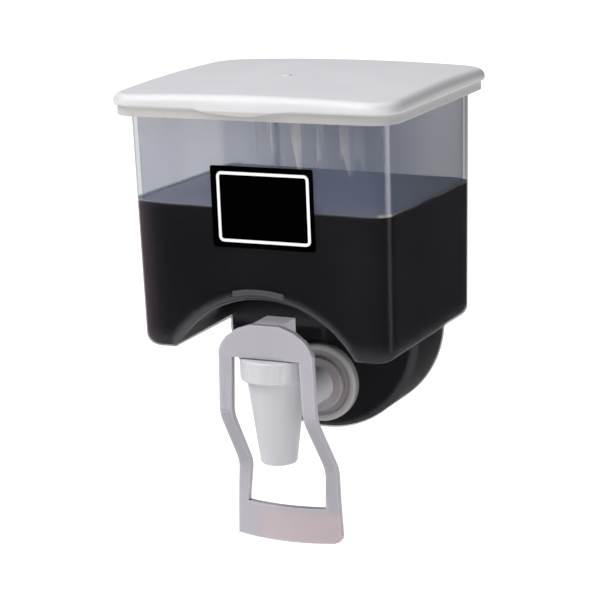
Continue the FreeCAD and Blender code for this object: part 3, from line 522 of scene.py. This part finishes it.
def skin(mesh, rings, caps=(True, True)):
    """Quads between closed rings of points; caps close the first and last ring with a fan."""
    rows = [[mesh.verts.new(point) for point in ring] for ring in rings]
    count = len(rows[0])
    for row, following in zip(rows, rows[1:]):
        for i in range(count):
            j = (i + 1) % count
            mesh.faces.new((row[i], row[j], following[j], following[i]))
    for row, wanted in ((rows[0], caps[0]), (rows[-1], caps[1])):
        if wanted:
            hub = mesh.verts.new(sum((v.co for v in row), Vector()) / count)
            for i in range(count):
                mesh.faces.new((row[i], row[(i + 1) % count], hub))


def rounded_profile(points, steps=4):
    """A profile whose corners are rounded; each point is (radius, height, rounding)."""
    count = len(points)
    out = []
    for i, (r, h, rounding) in enumerate(points):
        here = Vector((r, h))
        if not rounding:
            out.append(here)
            continue
        before = Vector(points[i - 1][:2]) - here
        after = Vector(points[(i + 1) % count][:2]) - here
        # a rounding takes up less than half of each side it lies between
        start = here + before.normalized() * min(rounding, before.length * 0.48)
        end = here + after.normalized() * min(rounding, after.length * 0.48)
        for step in range(steps + 1):
            t = step / steps
            out.append(start * (1 - t) ** 2 + here * 2 * t * (1 - t) + end * t ** 2)
    return out


def turn(mesh, profile, centre, upright=True, segments=96, shape=None):
    """Turns a closed profile of (radius, height) in mm about an upright or a level axis."""
    rings = []
    for r, h in profile:
        ring = []
        for i in range(segments):
            angle = 2 * math.pi * i / segments
            radius = (r + (shape(angle, r, h) if shape else 0)) * MM
            across, other = radius * math.cos(angle), radius * math.sin(angle)
            offset = Vector((across, other, h * MM)) if upright else Vector((across, h * MM, other))
            ring.append(centre + offset)
        rings.append(ring)
    skin(mesh, rings + [rings[0]], caps=(False, False))


def weld(mesh):
    """Joins points that lie in one place."""
    bmesh.ops.remove_doubles(mesh, verts=mesh.verts, dist=0.004 * MM)


def smoothstep(value, start, end):
    """Eases from 0 at start to 1 at end."""
    t = min(1, max(0, (value - start) / (end - start)))
    return t * t * (3 - 2 * t)


def bevelled(piece, width, segments=3, angle=35):
    """Rounds a piece's sharp edges; the width is in mm."""
    modifier = piece.modifiers.new("rounding", "BEVEL")
    modifier.width = width * MM
    modifier.segments = segments
    modifier.limit_method = "ANGLE"
    modifier.angle_limit = math.radians(angle)
    modifier.harden_normals = True


# ---------------------------------------------------------------- lid


# the lid's sizes, all in mm; its heights are from the tank's rim
HALF_WIDTH = (LID_HIGH.x - LID_LOW.x) / 2 / MM
HALF_DEPTH = (LID_HIGH.y - LID_LOW.y) / 2 / MM
LID_CORNER = 12.7
# the plug under the lid that fits inside the tank
PLUG_HALF_WIDTH, PLUG_HALF_DEPTH, PLUG_CORNER = 54.75, 46.15, 7.6
LID_TOP = (LID_HIGH.z - LID_CENTRE.z) / MM
LIP_HALF_WIDTH = 21.0
LIP_SAG = 2.5
LIP_BULGE = 1.1


def rectangle_ring(half_width, half_depth, corner, side_steps=64, corner_steps=10):
    """Points in mm round a rounded rectangle, evenly spaced along each side and corner."""
    corner = max(corner, 0.3)
    points = []
    for quarter in range(4):
        sx = 1 if quarter in (0, 3) else -1
        sy = 1 if quarter in (0, 1) else -1
        cx, cy = sx * (half_width - corner), sy * (half_depth - corner)
        for step in range(corner_steps):
            angle = math.pi / 2 * (quarter + step / corner_steps)
            points.append((cx + corner * math.cos(angle), cy + corner * math.sin(angle)))
        angle = math.pi / 2 * (quarter + 1)
        start = (cx + corner * math.cos(angle), cy + corner * math.sin(angle))
        along_x = quarter in (0, 2)
        length = 2 * ((half_width if along_x else half_depth) - corner)
        step_x, step_y = ((-sx, 0) if along_x else (0, -sy))
        for step in range(side_steps):
            part = length * step / side_steps
            points.append((start[0] + step_x * part, start[1] + step_y * part))
    return points


def crown(x, y):
    """Height in mm of the domed top over the tank's rim."""
    return LID_TOP - (x * x + y * y) / (2 * CROWN_RADIUS)


def lip_shape(x, y, half_depth):
    """How much of the finger lip shows at a point of the edge: steep at its left end, long at its right."""
    if y > 1 - half_depth or abs(x) > LIP_HALF_WIDTH:
        return 0
    along = (x + LIP_HALF_WIDTH) / (2 * LIP_HALF_WIDTH)
    return min(1, along / 0.5) ** 0.4 * (1 - smoothstep(along, 0.5, 1))


def lid_ring(inset, height, on_crown=False, lip=0.0):
    """One ring of the lid; inset is from its outer edge, height from the tank's rim or the crown."""
    ring = []
    half_depth = HALF_DEPTH - inset
    for x, y in rectangle_ring(HALF_WIDTH - inset, half_depth, LID_CORNER - inset):
        z = height + (crown(x, y) if on_crown else 0)
        shown = lip * lip_shape(x, y, half_depth) if lip else 0
        ring.append(LID_CENTRE + Vector((x, y - LIP_BULGE * shown, z - LIP_SAG * shown)) * MM)
    return ring


def plug_ring(inset, height):
    """One ring of the plug under the lid."""
    points = rectangle_ring(PLUG_HALF_WIDTH - inset, PLUG_HALF_DEPTH - inset, PLUG_CORNER - inset)
    return [LID_CENTRE + Vector((x, y, height)) * MM for x, y in points]


def lid():
    """The lid from the middle of its top, over the rolled edge and skirt, to the underside of its plug."""
    roll_radius, roll_bottom, roll_under = 3.4, -2.8, 0.9
    skirt_inset, skirt_bottom, skirt_wall = 1.6, -6.9, 1.6
    underside, plug_bottom, plug_wall = 0.3, -4.7, 1.4
    rings = []
    for inset in (50, 38, 26, 16, 9, 5.5, 4.2):
        rings.append(lid_ring(inset, 0, on_crown=True))
    for step in range(11):
        angle = math.pi / 2 * step / 10
        drop = roll_radius * (1 - math.cos(angle))
        lip = 0.45 * smoothstep(step, 5, 10)
        rings.append(lid_ring(roll_radius * (1 - math.sin(angle)), -drop, on_crown=True, lip=lip))
    for step in range(5):
        angle = math.pi / 2 * step / 4
        height = roll_bottom + roll_under * (1 - math.sin(angle))
        rings.append(lid_ring(roll_under * (1 - math.cos(angle)), height, lip=1))
    rings.append(lid_ring(skirt_inset - 0.25, roll_bottom + 0.05, lip=1))
    rings.append(lid_ring(skirt_inset, roll_bottom - 0.3, lip=0.9))
    for height in (-4.8, -5.8, skirt_bottom + 0.4):
        rings.append(lid_ring(skirt_inset, height))
    rings.append(lid_ring(skirt_inset + 0.12, skirt_bottom + 0.1))
    rings.append(lid_ring(skirt_inset + 0.4, skirt_bottom))
    rings.append(lid_ring(skirt_inset + skirt_wall - 0.3, skirt_bottom))
    rings.append(lid_ring(skirt_inset + skirt_wall, skirt_bottom + 0.3))
    rings.append(lid_ring(skirt_inset + skirt_wall, underside))
    rings.append(plug_ring(0, underside))
    rings.append(plug_ring(0, plug_bottom + 0.4))
    rings.append(plug_ring(0.4, plug_bottom))
    rings.append(plug_ring(plug_wall, plug_bottom))
    rings.append(plug_ring(plug_wall, underside))
    rings.append(plug_ring(30, underside))
    mesh = bmesh.new()
    skin(mesh, rings)
    # the moulding's gate mark, a flat nub near the middle of the top
    nub = LID_CENTRE + Vector((-4.0, -5.5, 0)) * MM
    nub_top, nub_foot = LID_TOP + 0.35, LID_TOP - 0.3
    outline = [(0.02, nub_top, 0), (1.7, nub_top, 0.3), (2.2, nub_foot, 0), (0.02, nub_foot, 0)]
    turn(mesh, rounded_profile(outline), nub, segments=32)
    weld(mesh)
    show("lid_shell", finish_mesh("lid_shell", mesh, 50), "lid", LID, "lid_plastic", "lid")


# ---------------------------------------------------------------- tap


def tap():
    """Cone spout and inlet tube in one mesh, hollow like the moulding."""
    tip = (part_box("tap_body")[0].z - VALVE.z) / MM
    mesh = bmesh.new()
    cone = [(12.1, -4.3, 0), (12.1, -9.8, 0.3), (7.4, tip, 0.9), (4.6, tip, 0.5), (4.6, -30.6, 0),
            (7.4, -30.6, 0), (7.4, -4.3, 0)]
    turn(mesh, rounded_profile(cone), VALVE, segments=128)
    distance = (FLANGE_HIGH.y - VALVE.y) / MM
    front = (FLANGE_LOW.y - VALVE.y) / MM + 1.2
    axis = Vector((0, VALVE.y, INLET_Z))
    tube = [(4.5, 7.0, 0), (7.5, 8.5, 0), (7.5, front - 3, 0.3), (11.6, front - 3, 0.7),
            (11.6, front, 0.3), (7.5, front, 0), (7.5, distance + 12, 0.6), (4.5, distance + 12, 0.4)]
    turn(mesh, rounded_profile(tube), axis, upright=False)
    weld(mesh)
    piece = show("tap_moulding", finish_mesh("tap_moulding", mesh), "tank", TAP, "tap_plastic", "tap_body")
    piece.data.materials.append(SEAL)
    # the collar, and the threaded end behind it, are as milky as the seal
    milky_from = axis.y + (front - 3.1) * MM
    for polygon in piece.data.polygons:
        if polygon.center.y > milky_from:
            polygon.material_index = 1


GRIPS = 16
GRIP_DEPTH = 0.22


def grip(angle, r, h):
    """Shallow wide flutes round the side of the cap, dying out at its top and foot."""
    if r < 13.2:
        return 0
    fade = smoothstep(-h, 1.2, 2.4) * smoothstep(h, -9.4, -8.4)
    wave = 0.5 - 0.5 * math.cos(GRIPS * angle)
    return -GRIP_DEPTH * fade * wave ** 3


def cap():
    """The ribbed screw cap, hollow from below."""
    profile = [(3.1, 0, 0.4), (13.2, 0, 0), (14.6, -0.25, 0.75), (14.6, -1.3, 0), (14.6, -2.4, 0),
               (14.6, -5.0, 0), (14.6, -8.3, 0), (14.6, -8.8, 0.3), (13.5, -9.8, 0.3), (12.3, -9.8, 0),
               (12.3, -3.0, 0), (3.1, -3.0, 0)]
    mesh = bmesh.new()
    turn(mesh, rounded_profile(profile), VALVE, segments=GRIPS * 12, shape=grip)
    weld(mesh)
    show("screw_cap", finish_mesh("screw_cap", mesh), "tank", TAP, "tap_plastic", "bonnet_cap")


def flange():
    """The round seal: a raised outer rim and a dished face round the tap's collar."""
    near = (FLANGE_LOW.y - VALVE.y) / MM
    far = (FLANGE_HIGH.y - VALVE.y) / MM
    profile = [(7.55, near + 1.3, 0.2), (12.0, near + 1.3, 0), (13.4, near + 1.2, 0.6),
               (14.4, near + 0.1, 0.6), (16.2, near, 0.6), (17.0, near + 0.9, 0.6), (17.0, far, 0.3),
               (7.55, far, 0)]
    mesh = bmesh.new()
    axis = Vector((0, VALVE.y, INLET_Z))
    turn(mesh, rounded_profile(profile), axis, upright=False, segments=128)
    weld(mesh)
    data = finish_mesh("seal_flange", mesh, 60)
    show("seal_flange", data, "tank", SEAL, "seal_silicone", "outer_seal_washer")


# ---------------------------------------------------------------- lever


# heights from the cap's top, with half the frame's width and half its window's width there, in mm
OUTLINE = [(14.4, 6.5), (12.2, 12.8), (8.8, 17.5), (5.9, 19.6), (3.0, 20.8), (-24.0, 21.4),
           (-49.3, 22.2), (-65.9, 22.95), (-81.0, 23.65)]
INNER = [(0.5, 15.0), (-24.0, 16.0), (-49.3, 17.0), (-65.9, 17.7)]
FOOT, BAR_TOP, BAR_BOTTOM = 0.5, -65.9, -81.0
BAR_CORNER = 3
# the sheet's middle in front of the valve's axis above its bends, and behind it below them
UPPER_Y, LOWER_Y = -8.7, 9.0
KINK_TOP, KINK_BOTTOM = -24.0, -49.3
THICKNESS = 3.0
BOW = 4.5
PIN_RISE = 8.9


def table_value(table, z):
    """Linear reading of a table of (height, value), highest first."""
    if z >= table[0][0]:
        return table[0][1]
    for (high, first), (low, second) in zip(table, table[1:]):
        if z >= low:
            return first + (second - first) * (high - z) / (high - low)
    return table[-1][1]


def sheet_y(x, z):
    """Where the middle of the lever's sheet lies: cranked back, with rounded bends and a bowed foot."""
    bend, bowed_half_width = 3.5, 24
    slope = (LOWER_Y - UPPER_Y) / (KINK_TOP - KINK_BOTTOM)

    def ramp(t):
        """0 before a bend, t after it, and an even curve between."""
        return 0 if t < -bend else t if t > bend else (t + bend) ** 2 / (4 * bend)

    y = UPPER_Y + slope * (ramp(KINK_TOP - z) - ramp(KINK_BOTTOM - z))
    bowing = smoothstep(-z, 50, 66)
    return y - BOW * (1 - (x / bowed_half_width) ** 2) * bowing


def lever_rows():
    """Heights of the sheet's rows: every turn of its outline, and about every millimetre between."""
    highest, spacing, nearest = 13.6, 1.0, 0.45
    rows = set(height for height, _ in OUTLINE) | {FOOT, BAR_TOP, BAR_BOTTOM}
    z = highest
    while z > BAR_BOTTOM + spacing / 2:
        if min(abs(z - kept) for kept in rows) > nearest:
            rows.add(z)
        z -= spacing
    return sorted(rows, reverse=True)


def lever_sheet(mesh):
    """The frame as a solid sheet: web, two arms, and the bar between their feet."""
    arm_steps, web_steps = 5, 26
    rows = lever_rows()
    half = THICKNESS / 2
    grid = []
    for z in rows:
        outer = table_value(OUTLINE, z)
        # the bar's right-hand lower corner is rounded, its left one is square
        into_corner = max(0, BAR_BOTTOM + BAR_CORNER - z)
        trim = BAR_CORNER - math.sqrt(max(0, BAR_CORNER ** 2 - into_corner ** 2))
        inner = min(table_value(INNER, z), outer * 0.86)
        left = [-outer + (outer - inner) * i / arm_steps for i in range(arm_steps)]
        web = [-inner + 2 * inner * i / web_steps for i in range(web_steps)]
        right = [inner + (outer - trim - inner) * i / arm_steps for i in range(arm_steps + 1)]
        faces = []
        for side in (-half, half):
            points = [Vector((x, sheet_y(x, z) + side, z)) for x in left + web + right]
            faces.append([mesh.verts.new(VALVE + point * MM) for point in points])
        grid.append(faces)
    columns = len(grid[0][0])

    def filled(row, column):
        """Whether there is plastic between four points of the grid: all but the window is filled."""
        in_window = arm_steps <= column < arm_steps + web_steps
        return not (in_window and BAR_TOP < (rows[row] + rows[row + 1]) / 2 < FOOT)

    for i in range(len(rows) - 1):
        for j in range(columns - 1):
            if not filled(i, j):
                continue
            for side in (0, 1):
                a, b = grid[i][side], grid[i + 1][side]
                mesh.faces.new((a[j], a[j + 1], b[j + 1], b[j]))
    edges = [edge for edge in mesh.edges if edge.is_boundary]
    pairs = {}
    for faces in grid:
        for first, second in zip(*faces):
            pairs[first] = second
    for edge in edges:
        a, b = edge.verts
        if a in pairs and b in pairs:
            mesh.faces.new((a, b, pairs[b], pairs[a]))
    bmesh.ops.delete(mesh, geom=[v for v in mesh.verts if not v.link_faces], context="VERTS")


def rounded_bar_edges(mesh, width):
    """Rounds the sheet's rims in three steps; the width is in mm."""
    bmesh.ops.recalc_face_normals(mesh, faces=mesh.faces)
    limit = math.radians(50)
    sharp = [edge for edge in mesh.edges
             if len(edge.link_faces) == 2 and edge.calc_face_angle(0) > limit]
    bmesh.ops.bevel(mesh, geom=sharp, offset=width * MM, segments=3, profile=0.5, affect="EDGES",
                    clamp_overlap=True)


def carved(name, solid, cutters):
    """A mesh less some other meshes."""
    base = bpy.data.objects.new(name, solid)
    bpy.context.scene.collection.objects.link(base)
    tools = []
    for data in cutters:
        tool = bpy.data.objects.new(f"{name}_cutter", data)
        bpy.context.scene.collection.objects.link(tool)
        modifier = base.modifiers.new("cut", "BOOLEAN")
        modifier.operation = "DIFFERENCE"
        modifier.solver = "EXACT"
        modifier.object = tool
        tools.append(tool)
    graph = bpy.context.evaluated_depsgraph_get()
    result = bpy.data.meshes.new_from_object(base.evaluated_get(graph))
    for item in [base, *tools]:
        bpy.data.objects.remove(item)
    return result


def block_mesh(low, high):
    """A box between two corners in mm from the cap's top, as mesh data."""
    mesh = bmesh.new()
    bmesh.ops.create_cube(mesh, size=1)
    low, high = Vector(low) * MM, Vector(high) * MM
    for v in mesh.verts:
        v.co = VALVE + (low + high) / 2 + Vector(a * b for a, b in zip(v.co, high - low))
    data = bpy.data.meshes.new("block")
    mesh.to_mesh(data)
    mesh.free()
    return data


def pin_hole(radius):
    """A level rod as wide as the hinge pin's hole, as mesh data."""
    mesh = bmesh.new()
    bmesh.ops.create_cone(mesh, segments=40, radius1=radius * MM, radius2=radius * MM, depth=20 * MM,
                          cap_ends=True)
    bmesh.ops.rotate(mesh, verts=mesh.verts, cent=(0, 0, 0), matrix=Matrix.Rotation(math.pi / 2, 3, "Y"))
    bmesh.ops.translate(mesh, verts=mesh.verts, vec=VALVE + Vector((0, 0, PIN_RISE)) * MM)
    data = bpy.data.meshes.new("hole")
    mesh.to_mesh(data)
    mesh.free()
    return data


def lever():
    """The sheet frame, and the slotted block behind its head that the pin goes through."""
    mesh = bmesh.new()
    lever_sheet(mesh)
    rounded_bar_edges(mesh, 0.55)
    frame_data = finish_mesh("lever_frame", mesh, 50)
    show("lever_frame", frame_data, "lever", LEVER, "lever_plastic", "lever")
    block_low, block_high = (-6.5, -8.0, 4.0), (6.5, 6.5, 14.4)
    slot_low, slot_high = (-2.8, -5.2, 3.0), (2.8, 7.5, 13.1)
    cutters = [block_mesh(slot_low, slot_high), pin_hole(radius=1.5)]
    data = carved("lever_block", block_mesh(block_low, block_high), cutters)
    block = show("lever_block", data, "lever", HOOD, "lever_plastic")
    bevelled(block, 0.5)


# ---------------------------------------------------------------- liquid


def connected_parts(mesh):
    """The mesh's points, in groups that hang together."""
    seen, parts = set(), []
    for start in mesh.verts:
        if start in seen:
            continue
        stack, part = [start], []
        seen.add(start)
        while stack:
            vert = stack.pop()
            part.append(vert)
            for edge in vert.link_edges:
                other = edge.other_vert(vert)
                if other not in seen:
                    seen.add(other)
                    stack.append(other)
        parts.append(part)
    return parts


def width(part):
    """How far a group of points reaches from left to right."""
    across = [vert.co.x for vert in part]
    return max(across) - min(across)


def inlet_bore(mesh):
    """The faces of the bore through the sump's wall, which joins the tank's inner skin to its outer one."""
    bore_reach, wall_reach = 9 * MM, 2.1 * MM
    found = []
    for face in mesh.faces:
        centre = face.calc_center_median()
        near = math.hypot(centre.x, centre.z - INLET_Z) < bore_reach
        in_wall = FLANGE_HIGH.y - 0.1 * MM < centre.y < FLANGE_HIGH.y + wall_reach
        if near and in_wall and abs(face.normal.y) < 0.5:
            found.append(face)
    return found


def at_level(point):
    """Whether a point lies in the liquid's open surface."""
    return point.z > LIQUID_LEVEL + LEVEL_SLOPE.dot(point.xy) - 0.01 * MM


def liquid():
    """The liquid: the tank's inner skin cut off at its level, closed, and swelled into the walls."""
    swell, least_width = 1.6 * MM, 80 * MM
    mesh = bmesh.new()
    mesh.from_mesh(nodes["tank"].data)
    bmesh.ops.remove_doubles(mesh, verts=mesh.verts, dist=1e-6)
    geometry = list(mesh.verts) + list(mesh.edges) + list(mesh.faces)
    bmesh.ops.bisect_plane(mesh, geom=geometry, plane_co=(0, 0, LIQUID_LEVEL),
                           plane_no=(-LEVEL_SLOPE.x, -LEVEL_SLOPE.y, 1), clear_outer=True)
    bmesh.ops.delete(mesh, geom=inlet_bore(mesh), context="FACES")
    parts = connected_parts(mesh)
    # of the tank's two skins, the inner one is the narrower
    keep = min((part for part in parts if width(part) > least_width), key=width)
    drop = [vert for part in parts if part is not keep for vert in part]
    bmesh.ops.delete(mesh, geom=drop, context="VERTS")
    bmesh.ops.holes_fill(mesh, edges=[edge for edge in mesh.edges if edge.is_boundary], sides=0)
    bmesh.ops.recalc_face_normals(mesh, faces=mesh.faces)
    mesh.normal_update()
    for vert in mesh.verts:
        outward = vert.normal.copy()
        if at_level(vert.co):
            # the edge of the open surface moves sideways only, and its inside stays where it is
            outward.z = 0
            if outward.length < 0.3:
                continue
            outward.normalize()
        vert.co += outward * swell
    data = bpy.data.meshes.new("liquid")
    for face in mesh.faces:
        level = at_level(face.calc_center_median()) and face.normal.z > 0.9
        face.material_index = 1 if level else 0
        face.smooth = not level
    mesh.to_mesh(data)
    mesh.free()
    piece = bpy.data.objects.new("liquid", data)
    bpy.context.scene.collection.objects.link(piece)
    data.materials.append(LIQUID)
    data.materials.append(SURFACE)
    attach(piece, "tank")


# ---------------------------------------------------------------- floor, light and camera


def floor():
    """A wide pale floor, far below the hanging object, that lightens away from it."""
    half_size, drop = 40, 0.6
    mesh = bmesh.new()
    bmesh.ops.create_grid(mesh, x_segments=8, y_segments=8, size=half_size)
    data = bpy.data.meshes.new("floor")
    mesh.to_mesh(data)
    mesh.free()
    piece = bpy.data.objects.new("floor", data)
    piece.location = (0, 0, -drop)
    bpy.context.scene.collection.objects.link(piece)
    material, tree, shader = new_material("floor")
    shader.inputs["Base Color"].default_value = (0.6, 0.6, 0.6, 1)
    shader.inputs["Roughness"].default_value = 0.9
    shader.inputs["Specular IOR Level"].default_value = 0.05
    shader.inputs["Emission Color"].default_value = (1, 1, 1, 1)
    away = tree.nodes.new("ShaderNodeVectorMath")
    away.operation = "LENGTH"
    tree.links.new(position(tree), away.inputs[0])
    lightening = spread(tree, away.outputs["Value"], 0, 0.6, 0.5, 1.1)
    tree.links.new(lightening, shader.inputs["Emission Strength"])
    # so large a lamp would be sampled badly; its light arrives by plain bounces instead
    material.cycles.emission_sampling = "NONE"
    data.materials.append(material)


def aim(lamp, place, target):
    """Stands a lamp at a place, turned to a target."""
    lamp.location = place
    lamp.rotation_euler = (Vector(target) - Vector(place)).to_track_quat("-Z", "Y").to_euler()
    bpy.context.scene.collection.objects.link(lamp)


def sun(name, direction, strength, softness):
    """Sunlight from a direction; softness is the angle its disc takes up."""
    data = bpy.data.lights.new(name, "SUN")
    data.energy = strength
    data.angle = softness
    aim(bpy.data.objects.new(name, data), direction, (0, 0, 0))


def area_light(name, place, target, size, power):
    """A soft rectangular lamp."""
    data = bpy.data.lights.new(name, "AREA")
    data.shape = "RECTANGLE"
    data.size, data.size_y = size
    data.energy = power
    aim(bpy.data.objects.new(name, data), place, target)


def camera():
    """A long lens to the right of the object, a little above it and tilted by two degrees."""
    place = Vector((389.5, -896.8, 207.2)) * MM
    target = Vector((-15.09, -33.34, -23.0)) * MM
    roll = math.radians(-1.94)
    data = bpy.data.cameras.new("camera")
    data.sensor_width = 36
    data.lens = 136.98
    data.clip_start, data.clip_end = 0.05, 100
    view = bpy.data.objects.new("camera", data)
    back = (place - target).normalized()
    right = Vector((0, 0, 1)).cross(back).normalized()
    up = back.cross(right)
    rolled_right = right * math.cos(roll) + up * math.sin(roll)
    rolled_up = up * math.cos(roll) - right * math.sin(roll)
    turned = Matrix((rolled_right, rolled_up, back)).transposed()
    view.matrix_world = Matrix.Translation(place) @ turned.to_4x4()
    bpy.context.scene.collection.objects.link(view)
    bpy.context.scene.camera = view


def world():
    """Faint even light from all round."""
    sky = bpy.data.worlds.new("studio")
    sky.use_nodes = True
    background = sky.node_tree.nodes["Background"]
    background.inputs["Color"].default_value = (1, 1, 1, 1)
    background.inputs["Strength"].default_value = 0.17
    bpy.context.scene.world = sky


# the CAD nodes that show as they are, most of them inside the tap, and their materials
for name, material in {
    "wall_plate": HANGER, "tank": TANK, "label_plate": BLACK, "label_outline": WHITE,
    "inner_seal_washer": SEAL, "lock_nut": TAP, "bonnet_seal": SEAL, "stem_seal": SEAL,
    "spring_seat": STEEL, "return_spring": STEEL, "valve_stem": TAP, "valve_plug": SEAL, "lever_pin": STEEL,
}.items():
    nodes[name].data.materials.clear()
    nodes[name].data.materials.append(material)
# a fine rounding of their edges, which leaves their own meshes as they are
for name in ("wall_plate", "lock_nut", "valve_stem", "lever_pin"):
    bevelled(nodes[name], 0.25, segments=2)

lid()
tap()
cap()
flange()
lever()
liquid()
floor()
world()
camera()
sun("key", direction=(-0.42, -0.4, 0.81), strength=3.25, softness=0.8)
area_light("fill", place=(1.1, -1.5, 0.0), target=(0, -0.09, -0.05), size=(0.9, 0.9), power=9)
bpy.context.scene.view_settings.view_transform = "Standard"
